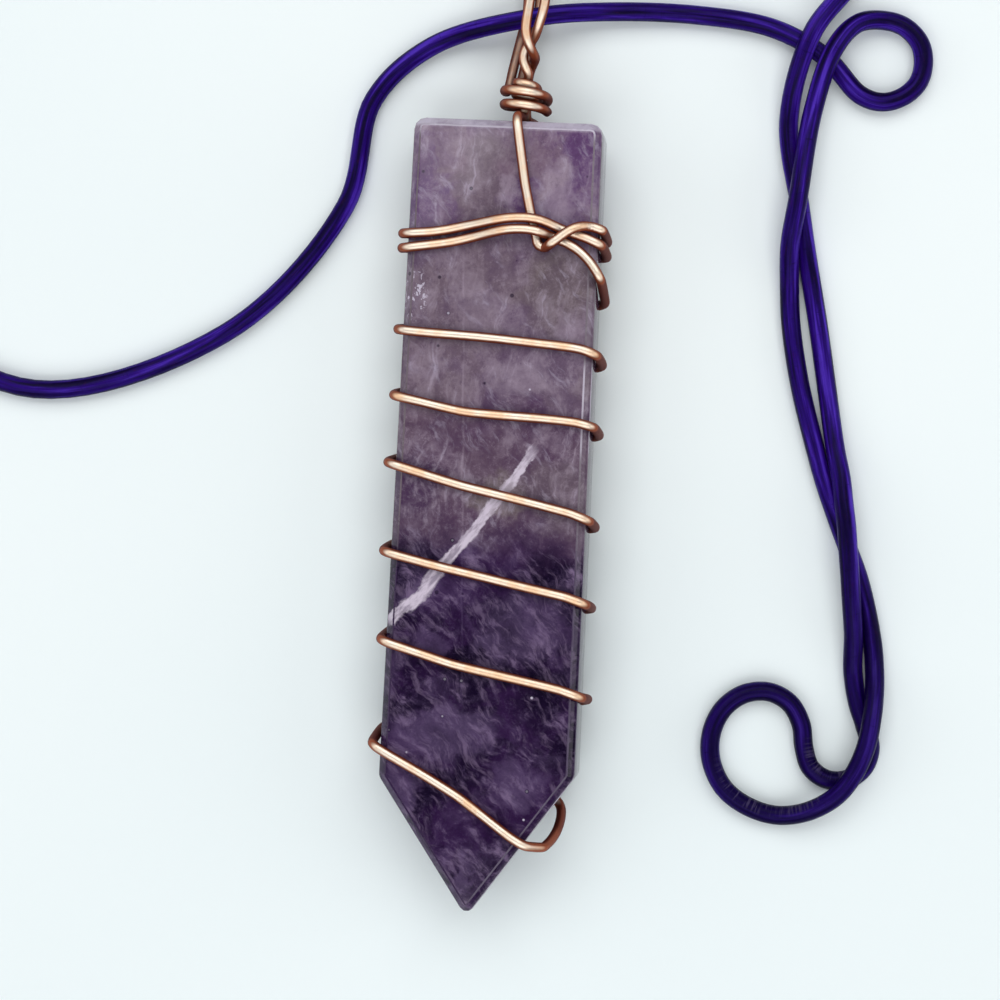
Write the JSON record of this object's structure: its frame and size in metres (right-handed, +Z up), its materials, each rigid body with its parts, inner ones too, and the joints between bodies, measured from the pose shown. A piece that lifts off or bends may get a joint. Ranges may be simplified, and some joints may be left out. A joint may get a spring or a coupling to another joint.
{
  "type": "crystal point pendant",
  "caption": "Flat violet crystal point bound in a spiral of copper wire, with a twisted wire bail, on a round leather necklace cord.",
  "frame": {"origin": "on the surface that it lies on, below the middle of the bound crystal's bounding box, cord left out", "axes": "+Y along the crystal towards the bail, +X to the right seen from its front, +Z up, out of its front face"},
  "size_m": [0.0869, 0.1274, 0.009],
  "materials": {
    "amethyst": "polished",
    "copper": "polished",
    "leather": "glossy"
  },
  "bodies": {
    "root": {"crystal_point": "amethyst", "cage_wire": "copper", "bail_strand_a": "copper", "bail_strand_b": "copper", "cord": "leather", "cord_joiner": "copper"}
  },
  "joints": []
}
